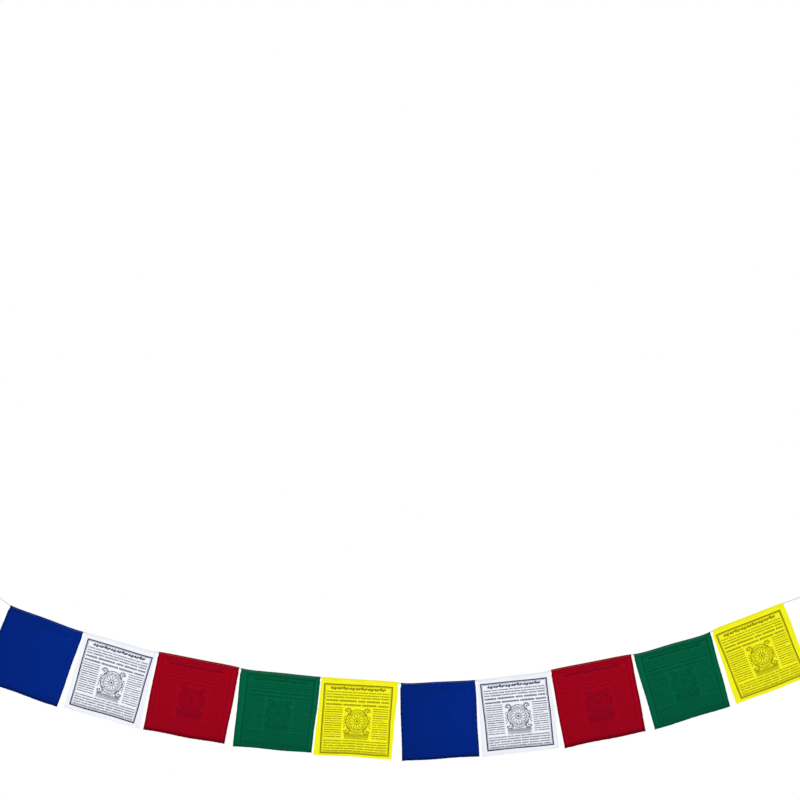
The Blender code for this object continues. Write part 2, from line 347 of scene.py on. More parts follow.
def tube(path, radii, sides, closed=False, lobes=0, lobe_depth=0.0, twist=0.0):
    """(points, faces) of a round or lobed tube along a path. Its section turns by twist radians a ring."""
    path = np.asarray(path, float)
    count = len(path)
    if closed:
        along = unit(np.roll(path, -1, axis=0) - np.roll(path, 1, axis=0))
    else:
        along = unit(np.gradient(path, axis=0))
    across = np.empty_like(path)
    side = np.cross(along[0], (0.0, -1.0, 0.3))
    for i in range(count):
        side = side - along[i] * np.dot(side, along[i])
        side /= np.linalg.norm(side)
        across[i] = side
    third = np.cross(along, across)
    angles = math.tau * np.arange(sides) / sides
    turned = angles[None, :] + (twist * np.arange(count))[:, None]
    radii = np.broadcast_to(np.asarray(radii, float), (count,))
    reach = radii[:, None] * (1 - lobe_depth + lobe_depth * np.cos(lobes * angles)[None, :])
    points = path[:, None] + reach[..., None] * (
        np.cos(turned)[..., None] * across[:, None] + np.sin(turned)[..., None] * third[:, None]
    )
    faces = []
    for i in range(count if closed else count - 1):
        here = i * sides
        there = (i + 1) % count * sides
        for j in range(sides):
            k = (j + 1) % sides
            faces.append((here + j, here + k, there + k, there + j))
    if not closed:
        faces.append(tuple(range(sides))[::-1])
        faces.append(tuple((count - 1) * sides + j for j in range(sides)))
    return points.reshape(-1, 3), faces


# Where the cloth lies

class Cloth:
    """One flag's cloth. s runs from 0 to 1 along its sleeve, and down is below the cord's middle."""

    def __init__(self, flag, line, start, seed):
        self.flag = flag
        self.name = flag.name.removeprefix("flag_")
        self.line = line
        self.start = start
        self.width = flag.width * MM
        left = line.at(start)
        right = line.at(start + self.width)
        self.along = unit(right - left)
        self.down = np.cross(self.along, FRONT)
        self.bottom_left = self.low_corner(left, flag.left_in, flag.left_drop)
        self.bottom_right = self.low_corner(right, flag.right_in, flag.right_drop)
        self.height = 0.5 * (flag.left_drop + flag.right_drop) * MM - CAD_SLEEVE_OUTER
        self.random = random.Random(seed)
        self.left_inset = self.random.uniform(*LEFT_INSETS)
        self.right_inset = self.random.uniform(*RIGHT_INSETS)
        self.edge_waves = [[self.rough_wave() for _ in range(ROUGH_WAVES)] for _ in range(3)]
        self.pucker_phase = self.random.uniform(0, math.tau)

    def rough_wave(self):
        return self.random.uniform(*ROUGH_RATES), self.random.uniform(0, math.tau)

    def low_corner(self, top, inward, drop):
        return top + self.along * inward * MM + self.down * (drop * MM - CAD_SLEEVE_OUTER)

    def ragged(self, edge, t):
        """The small unevenness of a cut edge, mostly from -1 to 1."""
        waves = self.edge_waves[edge]
        return sum(np.sin(math.tau * rate * t + phase) for rate, phase in waves) / len(waves) * 2

    def wave(self, s, t):
        """How far forward its waves, puckers and curled edges carry the cloth."""
        flag = self.flag
        ripple = np.sin(math.tau * (flag.turns * s + flag.phase + WAVE_DRIFT * t))
        body = t**WAVE_GROWTH * (flag.lean + flag.ripple * ripple) * MM
        header = np.exp(-((t * self.height / PUCKER_REACH) ** 2)) * np.minimum(t / PUCKER_START, 1)
        fast, slow = PUCKER_RATES
        puckers = np.sin(s * fast + self.pucker_phase)
        puckers = puckers + SLOW_PUCKERS * np.sin(s * slow + 2 * self.pucker_phase)
        sides = np.minimum(s, 1 - s) * self.width / CURL_REACH
        curl = np.exp(-(sides**2)) * np.sin(math.pi * np.minimum(t, 1)) * SIDE_CURL
        hem = np.exp(-(((1 - t) * self.height / CURL_REACH) ** 2)) * HEM_CURL
        turn = np.sin(math.tau * (CURLS_ALONG * s + CURL_SHIFT * flag.phase))
        turn = turn + np.sin(math.tau * (CURLS_DOWN * t + flag.phase))
        return body + header * puckers * PUCKER_HEIGHT + (curl + hem) * turn

    def wander(self, s, t):
        """How far the sides and the bottom edge stray, along the sleeve and down."""
        phase = self.flag.phase
        left = np.sin(math.tau * (LEFT_WAVES * t + phase))
        right = np.sin(math.tau * (RIGHT_WAVES * t + RIGHT_SHIFT * phase))
        bottom = np.sin(math.tau * (BOTTOM_WAVES * s + BOTTOM_SHIFT * phase))
        side = ((1 - s) * left + s * right) * np.sin(math.pi * np.minimum(t, 1)) * EDGE_WANDER
        near_left = np.exp(-s * self.width / ROUGH_REACH)
        near_right = np.exp(-(1 - s) * self.width / ROUGH_REACH)
        near_bottom = np.exp(-(1 - np.minimum(t, 1)) * self.height / ROUGH_REACH)
        side = side + (near_left * self.ragged(0, t) + near_right * self.ragged(1, t)) * EDGE_ROUGHNESS
        low = bottom * t**3 * EDGE_WANDER + near_bottom * self.ragged(2, s) * EDGE_ROUGHNESS
        return side, low

    def at(self, s, down, forward):
        """Points of the cloth's middle, moved forward of it."""
        s, down, forward = np.broadcast_arrays(s, down, forward)
        t = np.maximum(0.0, down / self.height)
        top = self.line.at(self.start + s * self.width)
        bottom = self.bottom_left + (self.bottom_right - self.bottom_left) * s[..., None]
        place = top + (bottom - top) * t[..., None]
        place = place + self.down * np.minimum(down, 0.0)[..., None]
        side, low = self.wander(s, t)
        place = place + self.along * side[..., None] + self.down * low[..., None]
        place[..., 1] -= forward + self.wave(s, t)
        return place


def fold_section():
    """(forward, down) of the cloth's middle, from the flap's raw edge over the cord to the sewing behind."""
    foot = math.acos(SLEEVE_RADIUS / STITCH_DOWN)
    points = [(FLAP_FORWARD, down) for down in np.linspace(FLAP_END, SEWN_DOWN, 4)]
    for angle in np.linspace(foot, math.tau - foot, 15):
        points.append((SLEEVE_RADIUS * math.sin(angle), SLEEVE_RADIUS * math.cos(angle)))
    points.append((SHEET_FORWARD, SEWN_DOWN))
    return points


def cloth_rows(height):
    """Rows of the whole cloth, closer at the top: arrays of forward, down and distance along the cloth."""
    rows = fold_section()
    top = rows[-1][1]
    last = height - EDGE_LINES[-1]
    for share in np.linspace(0, 1, SHEET_ROWS + 1)[1:]:
        eased = share * (ROW_EVENNESS + (1 - ROW_EVENNESS) * share)
        rows.append((SHEET_FORWARD, top + (last - top) * eased))
    rows += [(SHEET_FORWARD, height - line) for line in EDGE_LINES[-2::-1]]
    forward, down = np.array(rows).T
    steps = np.hypot(np.diff(forward), np.diff(down))
    return forward, down, np.concatenate([[0.0], np.cumsum(steps)])


def cloth_columns(width):
    """Distances along the sleeve at which the cloth is divided."""
    inside = np.linspace(EDGE_LINES[-1], width - EDGE_LINES[-1], COLUMNS + 1)
    near_left = np.array(EDGE_LINES[:-1])
    return np.concatenate([near_left, inside, width - near_left[::-1]])


def painted_shade_of(cloth, dye, x, down):
    """How much painted shade darkens each place: beside an edge, towards the bottom, and more at the left
    than the right.
    """
    kept = 1.0
    edges = (
        (np.minimum(x, cloth.width - x), SIDE_PAINTED_SHADE),
        (cloth.height - down, BOTTOM_PAINTED_SHADE),
        (down + SLEEVE_TOP, TOP_PAINTED_SHADE),
    )
    for distance, (strength, reach) in edges:
        kept = kept * (1 - dye.edge * strength * np.exp(-((np.maximum(distance, 0) / reach) ** 3)))
    # Painted shade, darker towards the bottom, on all cloths but the palest
    if dye.edge > PALE_EDGE:
        kept = kept * (1 - LOW_PAINTED_SHADE * np.clip(down / cloth.height, 0, 1) ** 2)
    # Painted shade that darkens the left side more than the right
    return 1 - kept * (1 - dye.uneven * (1 - x / cloth.width))


def make_cloth(cloth, dye, material):
    """The flag's cloth, folded over the cord, with its two faces and its cut edges."""
    forward, down, run = cloth_rows(cloth.height)
    x = cloth_columns(cloth.width)[None, :]
    header = (np.arange(len(down)) < len(fold_section()) + HEADER_ROWS)[:, None]
    left = np.where(header, cloth.left_inset, 0.0)
    right = np.where(header, cloth.right_inset, 0.0)
    x = left + x * (cloth.width - left - right) / cloth.width
    middle = cloth.at(x / cloth.width, down[:, None], forward[:, None])
    normal = unit(np.cross(np.gradient(middle, axis=0), np.gradient(middle, axis=1)))
    points = np.stack([middle + normal * CLOTH / 2, middle - normal * CLOTH / 2]).reshape(-1, 3)
    index = np.arange(x.size).reshape(x.shape)
    behind = x.size
    corners = [index[:-1, :-1], index[:-1, 1:], index[1:, 1:], index[1:, :-1]]
    quads = np.stack(corners, axis=-1).reshape(-1, 4)
    rim = np.concatenate([index[0, :], index[1:, -1], index[-1, -2::-1], index[-2:0:-1, 0]])
    ahead = np.roll(rim, -1)
    cut_edge = np.stack([rim, ahead, ahead + behind, rim + behind], axis=1)
    faces = np.concatenate([quads[:, ::-1], quads + behind, cut_edge])
    obj = make_mesh(f"cloth_{cloth.name}", points, faces.tolist(), material, CLOTH_SHARP)
    # The cloth's painted shade, kept on its points for its material
    shade = painted_shade_of(cloth, dye, x, down[:, None]).ravel()
    painted_shade_layer = obj.data.attributes.new("shade", "FLOAT", "POINT")
    painted_shade_layer.data.foreach_set("value", np.tile(shade, 2))
    flat = np.stack([x, np.broadcast_to(run[:, None], x.shape)], axis=-1).reshape(-1, 2)
    layer = obj.data.uv_layers.new(name="weave")
    layer.data.foreach_set("uv", flat[faces % behind].ravel())
    return obj, float(run[-1])


# The print: flat shapes in the block's own millimetres, x right and y down from its upper left corner

PANEL_MIDDLE = (80.5, 83.5)
FRAME_LINES = ((1.2, 3.2), (4.1, 0.8))
GHOST_FRAME = (1.1, 2.0)
FULL_ROWS = (18.0, 24.1, 30.0, 129.4, 135.2, 141.0, 146.8, 152.2)
BOLD_ROWS = (37.6, 46.6)
SIDE_ROWS = [53.6 + 5.14 * i for i in range(14)]
LOW_ROWS = 120.0
FULL_SPAN = (6.4, 150.4)
LEFT_SPAN = (6.4, 45.8)
RIGHT_SPAN = (115.2, 150.4)
HIGH_ROW_HEIGHT = 2.9
LOW_ROW_HEIGHT = 3.1
BOLD_ROW_HEIGHT = 4.8
LEFT_ROW_HEIGHT = 2.25
RIGHT_ROW_HEIGHT = 2.0
GHOST_FULL_ROW = 1.9
GHOST_BOLD_ROW = 2.8
GHOST_SIDE_ROW = 1.6
NEAR_ZERO = 1e-9


class Print(Soup):
    """Flat shapes of ink as points (x, y) and faces, each in the next of a few thin layers."""

    def __init__(self):
        super().__init__()
        self.parts = {}

    def draw_part(self, name, draw_shapes):
        """Draws one part of the block and notes which faces it has."""
        first = len(self.faces)
        draw_shapes(self)
        self.parts[name] = range(first, len(self.faces))

    def all_lifts(self):
        """How far each point lies above the lowest layer."""
        layers = [np.full(len(points), i % INK_LAYERS) for i, points in enumerate(self.points)]
        return np.concatenate(layers) * LAYER_LIFT

    def ribbon(self, path, width, closed=False, longest=4.0):
        """A line of ink of an even or changing width."""
        line = np.column_stack([path, np.broadcast_to(width, len(path))])
        if closed:
            line = np.vstack([line, line[0]])
        finer = [line[:1]]
        for a, b in zip(line, line[1:]):
            steps = max(1, math.ceil(np.linalg.norm((b - a)[:2]) / longest))
            finer.append(a + (b - a) * np.arange(1, steps + 1)[:, None] / steps)
        line = np.vstack(finer)
        path, half = line[:, :2], line[:, 2:] / 2
        segments = unit(np.diff(path, axis=0))
        first, last = (segments[-1], segments[0]) if closed else (segments[0], segments[-1])
        before = np.vstack([first, segments])
        after = np.vstack([segments, last])
        bend = unit(before + after + NEAR_ZERO)
        side = np.stack([-bend[:, 1], bend[:, 0]], axis=1)
        cosine = np.clip(np.sum(bend * after, axis=1), 0.5, 1.0)[:, None]
        left = path + side * half / cosine
        right = path - side * half / cosine
        count = len(path)
        faces = [(i, i + 1, count + i + 1, count + i) for i in range(count - 1)]
        self.add(np.vstack([left, right]), faces)

    def patch(self, outline):
        """A filled shape that is seen whole from its middle."""
        outline = np.asarray(outline, float)
        count = len(outline)
        middle = outline.mean(axis=0)
        faces = [(i, (i + 1) % count, count) for i in range(count)]
        self.add(np.vstack([outline, middle]), faces)

    def dot(self, x, y, radius, sides=8):
        self.patch(around(x, y, radius, radius, math.tau * np.arange(sides) / sides))

    def ring(self, x, y, radius_x, radius_y, width, sides=64):
        angles = math.tau * np.arange(sides) / sides
        self.ribbon(around(x, y, radius_x, radius_y, angles), width, closed=True)

    def leaf(self, x, y, length, breadth, degrees):
        """A filled leaf from its foot at (x, y)."""
        self.patch(turned_shape(pointed(length, breadth, 7, 0.8), x, y, degrees))

    def petal(self, x, y, length, breadth, degrees, width, filled=0.0):
        """A pointed petal's outline from its foot, with a filled heart of a share of its size."""
        outline = pointed(length, breadth, 9, 0.75, 0.8)
        self.ribbon(turned_shape(outline, x, y, degrees), width, closed=True)
        if filled:
            heart = outline * filled + (length * (1 - filled) * 0.45, 0)
            self.patch(turned_shape(heart, x, y, degrees))

    def spiral(self, x, y, radius, turns, start_degrees, width, hand=1, eye=0.12, tip=0.55):
        """A curl that thins towards its end. Its eye and its tip are shares of the radius and the width."""
        t = np.linspace(0, 1, int(18 * turns) + 2)
        angles = math.radians(start_degrees) + hand * math.tau * turns * t
        reach = radius * (1 - (1 - eye) * t)
        self.ribbon(around(x, y, reach, reach, angles), width * (1 - (1 - tip) * t))


def around(x, y, reach_x, reach_y, angles):
    """One or more points around (x, y), at some distance and angle from it."""
    return np.stack([x + reach_x * np.cos(angles), y + reach_y * np.sin(angles)], axis=-1)


def pointed(length, breadth, steps, belly, roundness=1.0):
    """The outline of a leaf or petal from its foot along x, widest nearer the foot where belly is small."""
    t = np.linspace(0, 1, steps)
    bulge = breadth / 2 * np.sin(math.pi * t**belly) ** roundness
    upper = np.stack([length * t, bulge], axis=1)
    lower = np.stack([length * t, -bulge], axis=1)
    return np.vstack([upper, lower[-2:0:-1]])


def lozenge(x, y, half_width, half_height):
    return [(x - half_width, y), (x, y - half_height), (x + half_width, y), (x, y + half_height)]


def turned_shape(shape, x, y, degrees):
    """A flat shape turned about its foot, which comes to (x, y)."""
    angle = math.radians(degrees)
    turn = np.array([[math.cos(angle), math.sin(angle)], [-math.sin(angle), math.cos(angle)]])
    return shape @ turn + (x, y)


def groups(left, right, draw, about, shortest=9.0, longest=34.0, gap=1.5):
    """Stretches of uneven length with small gaps between them: (middles of the motifs, their pitch)."""
    start = left
    while right - start > shortest:
        end = start + draw.uniform(shortest, longest)
        if right - end < shortest:
            end = right
        count = max(2, round((end - start) / about))
        pitch = (end - start) / count
        yield [start + (i + 0.5) * pitch for i in range(count)], pitch
        start = end + gap


def rope_row(ink, left, right, y, height, draw):
    """Slanted strokes like laid ropes of uneven length."""
    slant = 0.24 * height
    top, bottom = y - height / 2, y + height / 2
    for middles, pitch in groups(left, right, draw, 2.0):
        half = 0.33 * pitch
        for x in middles:
            low, high = x - slant, x + slant
            ink.patch([(low - half, bottom), (high - half, top), (high + half, top), (low + half, bottom)])


def chain_row(ink, left, right, y, height, draw):
    """Chains of open lozenges with a bead in each."""
    for middles, pitch in groups(left, right, draw, 3.2, 10.0, 38.0):
        for x in middles:
            ink.ribbon(lozenge(x, y, pitch / 2, height / 2), 0.72, closed=True)
            ink.dot(x, y, 0.55, 6)


def wave_row(ink, left, right, y, height, draw):
    """Zigzag lines with a bead in each hollow."""
    for middles, pitch in groups(left, right, draw, 3.4, 8.0, 36.0):
        start = middles[0] - pitch / 2
        turns = [(start + i * pitch / 2, 1 if i % 2 else -1) for i in range(2 * len(middles) + 1)]
        ink.ribbon([(x, y + side * height / 2) for x, side in turns], 0.9)
        for x, side in turns[1:-1]:
            ink.dot(x, y - side * height * 0.32, 0.55, 6)


def leaf_row(ink, left, right, y, height, draw):
    """Bold standing leaves with a bead between each two."""
    for middles, pitch in groups(left, right, draw, 3.4, 12.0, 50.0, 2.2):
        for x in middles:
            ink.leaf(x, y + height / 2, height, 3.0, -90)
            if x > middles[0]:
                ink.dot(x - pitch / 2, y - height * 0.34, 0.68, 8)
                ink.dot(x - pitch / 2, y + height * 0.42, 0.5, 8)


ROW_KINDS = (rope_row, chain_row, wave_row)


def heading_band(ink):
    """The bold band along the block's top: a winding vine with leaves and full rosettes."""
    left, right, y = 15.0, 141.0, 9.4
    bend_length = 7.0
    swing = 2.2
    x = np.linspace(left, right, 145)
    ink.ribbon(np.stack([x, y + swing * np.sin(math.pi * (x - left) / bend_length)], axis=1), 1.1)
    for i in range(round((right - left) / bend_length)):
        at = left + (i + 0.5) * bend_length
        side = -1 if i % 2 else 1
        crest = y + side * swing
        if i % 3 == 1:
            hollow = y - side * 1.6
            for petal in range(6):
                ink.leaf(at, hollow, 3.6, 2.5, 60 * petal + 30)
            ink.dot(at, hollow, 1.3, 12)
        else:
            ink.leaf(at, crest - side * 0.4, 6.2, 3.6, -side * 90 + 24)
            ink.leaf(at + 0.6, crest - side * 0.4, 4.4, 2.6, -side * 90 - 40)
        ink.leaf(at + 2.4, crest - side * 0.6, 2.8, 1.5, side * 40)


def corner_scroll(ink, x, y, across, up):
    """A leafy curl that fills one corner of the middle panel."""
    start = 90 * up
    hand = across * up
    radius = 6.6
    ink.spiral(x, y, radius, 1.35, start, 1.6, hand=hand)
    ink.dot(x, y, 1.5, 12)
    for i in range(9):
        degrees = start + hand * (20 + 32 * i)
        reach = (radius + 0.3) * (1 - 0.05 * i)
        foot = around(x, y, reach, reach, math.radians(degrees))
        ink.leaf(*foot, 4.2, 2.6, degrees - 25 * hand)


def round_lotus(ink, x, y):
    """A flower with twelve petals in two rings with bent rays between them."""
    rays, petals, heart_leaves = 44, 12, 6
    ray_reaches = (19.9, 22.3, 24.7)
    ink.ring(x, y, 25.6, 26.6, 1.6)
    ink.ring(x, y, 18.4, 19.2, 1.2)
    for i in range(rays):
        angle = math.tau * i / rays
        foot, middle, tip = (around(x, y, reach, reach, angle) for reach in ray_reaches)
        bend = around(0, 0, 0.5, 0.5, angle + math.pi / 2)
        ink.ribbon([foot, middle + bend, tip], 1.15)
    for i in range(petals):
        angle = math.tau * (i + 0.5) / petals
        ink.petal(*around(x, y, 6.2, 6.4, angle), 11.6, 6.2, math.degrees(angle), 0.85)
        ink.dot(*around(x, y, 15.4, 15.9, angle + math.pi / petals), 0.95, 8)
    ink.ring(x, y, 5.2, 5.3, 0.9, 36)
    for i in range(heart_leaves):
        ink.leaf(x, y, 3.9, 1.9, 360 / heart_leaves * i)


def pedestal(ink, x):
    """A row of petals on two steps of lozenges."""
    petals, petal_pitch, petal_foot = 11, 5.1, 118.0
    step_top, step_height, pitch = 118.9, 3.6, 2.9
    for i in range(petals):
        ink.petal(x + (i - petals // 2) * petal_pitch, petal_foot, 6.2, 4.9, -90, 0.9, 0.5)
    for step, half_width in enumerate((27.5, 28.5)):
        level = step_top + step_height * step
        ink.ribbon([(x - half_width, level), (x + half_width, level)], 1.0)
        for i in range(int(2 * half_width / pitch)):
            middle = x - half_width + 1.6 + i * pitch
            ink.patch(lozenge(middle, level + step_height / 2, 1.05, 1.0))


def middle_panel(ink):
    """A round lotus above a row of petals on steps, with leafy curls in the corners."""
    x, y = PANEL_MIDDLE
    round_lotus(ink, x, y)
    pedestal(ink, x)
    for across in (-1, 1):
        corner_scroll(ink, x + across * 22.0, 60.8, across, 1)
        corner_scroll(ink, x + across * 22.5, 106.0, across, -1)
        for i in range(8):
            ink.leaf(x + across * 28.4, 71.0 + 3.6 * i, 4.2, 2.4, 90 - across * (38 if i % 2 else -32))


def frame_line(ink, inset, width):
    """A plain frame at a distance inside the block's edge."""
    low, right, bottom = inset, BLOCK_WIDTH - inset, BLOCK_HEIGHT - inset
    ink.ribbon([(low, low), (right, low), (right, bottom), (low, bottom)], width, closed=True)


def double_frame(ink):
    for inset, width in FRAME_LINES:
        frame_line(ink, inset, width)


def draw_print():
    """The whole block, the same on every flag."""
    ink = Print()
    draw = random.Random(PRINT_SEED)
    ink.draw_part("frame", double_frame)
    ink.draw_part("heading", heading_band)
    for i, y in enumerate(FULL_ROWS):
        height = HIGH_ROW_HEIGHT if y < LOW_ROWS else LOW_ROW_HEIGHT
        ROW_KINDS[i % 3](ink, *FULL_SPAN, y, height, draw)
    for y in BOLD_ROWS:
        leaf_row(ink, *FULL_SPAN, y, BOLD_ROW_HEIGHT, draw)
    ink.draw_part("panel", middle_panel)
    for i, y in enumerate(SIDE_ROWS):
        ROW_KINDS[i % 3](ink, *LEFT_SPAN, y, LEFT_ROW_HEIGHT, draw)
        ROW_KINDS[(i + 1) % 3](ink, *RIGHT_SPAN, y, RIGHT_ROW_HEIGHT, draw)
    return ink


def draw_ghost():
    """What shows through on the back: the frame, the heading and rows as soft bands, and the panel."""
    ink = Print()
    frame_line(ink, *GHOST_FRAME)
    for i in range(60):
        ink.leaf(16.0 + 2.1 * i, 9.2, 4.0, 2.0, 90 if i % 2 else -90)
    bands = [(FULL_SPAN, y, GHOST_FULL_ROW) for y in FULL_ROWS]
    bands += [(FULL_SPAN, y, GHOST_BOLD_ROW) for y in BOLD_ROWS]
    bands += [(span, y, GHOST_SIDE_ROW) for y in SIDE_ROWS for span in (LEFT_SPAN, RIGHT_SPAN)]
    for (left, right), y, width in bands:
        ink.ribbon([(left, y), (right, y)], width)
    middle_panel(ink)
    return ink


def lay_print(cloth, block, design, material, name, side):
    """The design's shapes, laid on a flag's front (side 1) or back (side -1)."""
    flag = cloth.flag
    across, below = design.all_points().T
    across, below = across * block.wide / BLOCK_WIDTH, below * block.high / BLOCK_HEIGHT
    turn = math.radians(block.turn)
    x = block.inward + across * math.cos(turn) - below * math.sin(turn)
    y = block.down + across * math.sin(turn) + below * math.cos(turn)
    down = y * MM - SLEEVE_TOP
    t = down / cloth.height
    own_width = flag.width + (flag.right_in - flag.left_in) * t
    s = (x - flag.left_in * t) / own_width
    lifted = CLOTH / 2 + INK_LIFT + design.all_lifts()
    points = cloth.at(s, down, SHEET_FORWARD + side * lifted)
    return make_mesh(name, points, design.faces, material, NEVER_SHARP)


def deepen(printed, design, parts, material):
    """Gives some parts of a laid print a deeper ink."""
    printed.data.materials.append(material)
    for part in parts:
        for i in design.parts[part]:
            printed.data.polygons[i].material_index = 1


# Sewing, loose threads and cord

def make_stitches(cloth, material, name):
    """The lock-stitches that close the sleeve, front and back, with their thread's loose ends."""
    soup = Soup()
    first = cloth.left_inset + SEAM_INSET
    count = int((cloth.width - cloth.right_inset - first) / STITCH_PITCH)
    outside = CLOTH / 2 + 0.5 * STITCH_RADIUS
    for face_forward, sign in ((FLAP_FORWARD + outside, 1), (SHEET_FORWARD - outside, -1)):
        for i in range(count):
            x = first + (i + (0 if sign > 0 else BACK_SHIFT)) * STITCH_PITCH
            sway = cloth.random.uniform(-STITCH_SWAY, STITCH_SWAY)
            shares = np.linspace(0, 1, 6)
            s = (x + STITCH_LENGTH * shares) / cloth.width
            lift = np.sin(math.pi * shares) ** 0.5 * STITCH_RISE - STITCH_SUNK
            path = cloth.at(s, SEAM_DOWN + sway, face_forward + sign * lift)
            soup.add(*tube(path, STITCH_RADIUS * (0.75 + 0.25 * np.sin(math.pi * shares)), 5))
    ends = ((cloth.left_inset / cloth.width, -1), (1 - cloth.right_inset / cloth.width, 1))
    for s, away in ends:
        for _ in range(2):
            length = cloth.random.uniform(*THREAD_TAILS)
            shares = np.linspace(-0.12, 1, 9)
            start = cloth.at(s, SEAM_DOWN, FLAP_FORWARD + outside)
            bend = cloth.random.uniform(0.1, 0.9)
            path = start + np.outer(shares * length * away, cloth.along)
            path = path + np.outer(np.maximum(shares, 0) ** 2 * length * bend, cloth.down)
            path[:, 1] -= np.sin(np.maximum(shares, 0) * 3) * cloth.random.uniform(0.1, 0.8) * MM
            soup.add(*tube(path, STITCH_RADIUS * 0.8, 5))
    return soup.make(name, material)


def make_fray(cloth, material, name):
    """Short thread ends along the raw sides and the bottom edge, and a loose bundle at a low corner."""
    soup = Soup()
    draw = cloth.random
    edges = (
        (cloth.height, lambda t: (0.0, t), -cloth.along),
        (cloth.height, lambda t: (1.0, t), cloth.along),
        (cloth.width, lambda t: (t, 1.0), cloth.down),
    )
    for length, place, out in edges:
        along_edge = np.cross(out, (0.0, 1.0, 0.0))
        for i in range(int(length / FRAY_PITCH)):
            share = min(0.995, max(0.07, (i + draw.random()) * FRAY_PITCH / length))
            s, t = place(share)
            reach = draw.uniform(*FRAY_REACH)
            if draw.random() < LONG_FRAY_SHARE:
                reach *= draw.uniform(*LONG_FRAY_GROWTH)
            add_thread(soup, cloth.at(s, t * cloth.height, SHEET_FORWARD), out, along_edge, reach, draw)
    if cloth.name.endswith("green"):
        corner = cloth.at(0.004, cloth.height, SHEET_FORWARD)
        for _ in range(BUNDLE_THREADS):
            out = unit(cloth.down - 0.25 * draw.random() * cloth.along)
            add_thread(soup, corner, out, cloth.along, draw.uniform(*BUNDLE_REACH), draw)
    return soup.make(name, material, NEVER_SHARP)


def add_thread(soup, foot, out, along_edge, reach, draw):
    """One loose thread that starts inside the cloth and leans to one side."""
    lean = draw.uniform(-0.9, 0.9)
    forward = draw.uniform(-0.5, 0.5)
    shares = np.array([-THREAD_FOOT / reach, 0.0, 0.55, 1.0])
    beyond = np.maximum(shares, 0) ** 2
    path = foot + np.outer(shares * reach, out) + np.outer(beyond * reach * lean, along_edge)
    path[:, 1] += beyond * reach * forward
    soup.add(*tube(path, np.array([1.0, 1.0, 0.9, 0.5]) * FRAY_RADIUS, 3))


def make_cord(line, material):
    """The twisted cord between its two end knots, and the path that it follows."""
    inside_knot = KNOT_LENGTH * CORD_IN_KNOT
    first, last = line.at(0.0), line.at(line.length)
    start = first - unit(line.at(1 * MM) - first) * inside_knot
    end = last + unit(last - line.at(line.length - 1 * MM)) * inside_knot
    count = int(line.length / CORD_STEP)
    path = np.vstack([start, line.at(np.linspace(0, line.length, count)), end])
    twist = math.tau * CORD_STEP / CORD_TWIST
    points, faces = tube(path, CORD_RADIUS, CORD_SIDES, False, CORD_STRANDS, STRAND_DEPTH, twist)
    return make_mesh("twisted_cord", points, faces, material, CORD_SHARP), path


def make_end_loop(name, cord_end, far_end, material):
    """The cord's end: a small tight knot, its loop and its short free tail."""
    cord_end, far_end = np.array(cord_end), np.array(far_end)
    away = unit(far_end - cord_end)
    across = unit(np.cross(away, FRONT))
    soup = Soup()

    def add_strand(path, radius, closed=False):
        line = Line(np.vstack([path, path[:1]]) if closed else path)
        count = int(line.length / LOOP_STEP)
        even = line.at(np.linspace(0, line.length, count, endpoint=not closed))
        twist = math.tau * max(1, round(line.length / CORD_TWIST)) / count
        soup.add(*tube(even, radius, CORD_SIDES, closed, CORD_STRANDS, STRAND_DEPTH, twist))

    middle = cord_end + away * KNOT_LENGTH * 0.5
    t = np.linspace(0, math.tau, 90, endpoint=False)
    knot = np.outer(np.sin(t) + 2 * np.sin(2 * t), across) * KNOT_ACROSS
    knot = knot + np.outer(np.cos(t) - 2 * np.cos(2 * t), away) * KNOT_ALONG
    knot = knot + np.outer(-np.sin(3 * t), FRONT) * KNOT_DEPTH
    add_strand(middle + knot, CORD_RADIUS * TIGHTENED, closed=True)

    length = np.linalg.norm(far_end - middle)
    turn = np.linspace(0, math.tau, 80, endpoint=False)
    reach = 0.5 * (1 - np.cos(turn))
    width = LOOP_HALF_WIDTH * np.sin(turn) * (LOOP_NECK + (1 - LOOP_NECK) * reach)
    loop = middle + np.outer(reach * length, away) + np.outer(width, across)
    loop[:, 1] += LOOP_CROSSING * np.sin(turn)
    add_strand(loop, CORD_RADIUS, closed=True)

    hanging = unit(-away + np.array((0.0, -TAIL_FORWARD, -TAIL_DOWN)))
    shares = np.linspace(0, 1, 20)
    tail = middle + np.outer(shares * TAIL_LENGTH, hanging)
    tail[:, 2] -= TAIL_DROOP * TAIL_LENGTH * shares**2
    add_strand(tail, CORD_RADIUS * TIGHTENED)
    draw = random.Random(len(name))
    for _ in range(TAIL_FIBRES):
        spread = np.array([draw.uniform(-0.35, 0.35), draw.uniform(-0.35, 0.35), -1.0])
        path = tail[-1] + np.outer(np.linspace(-0.1, 1, 4) * draw.uniform(1.2, 2.6) * MM, unit(spread))
        path = path + (draw.uniform(-0.4, 0.4) * MM, draw.uniform(-0.4, 0.4) * MM, 0)
        soup.add(*tube(path, FIBRE_RADIUS, 4))
    return soup.make(name, material, CORD_SHARP)


# Materials

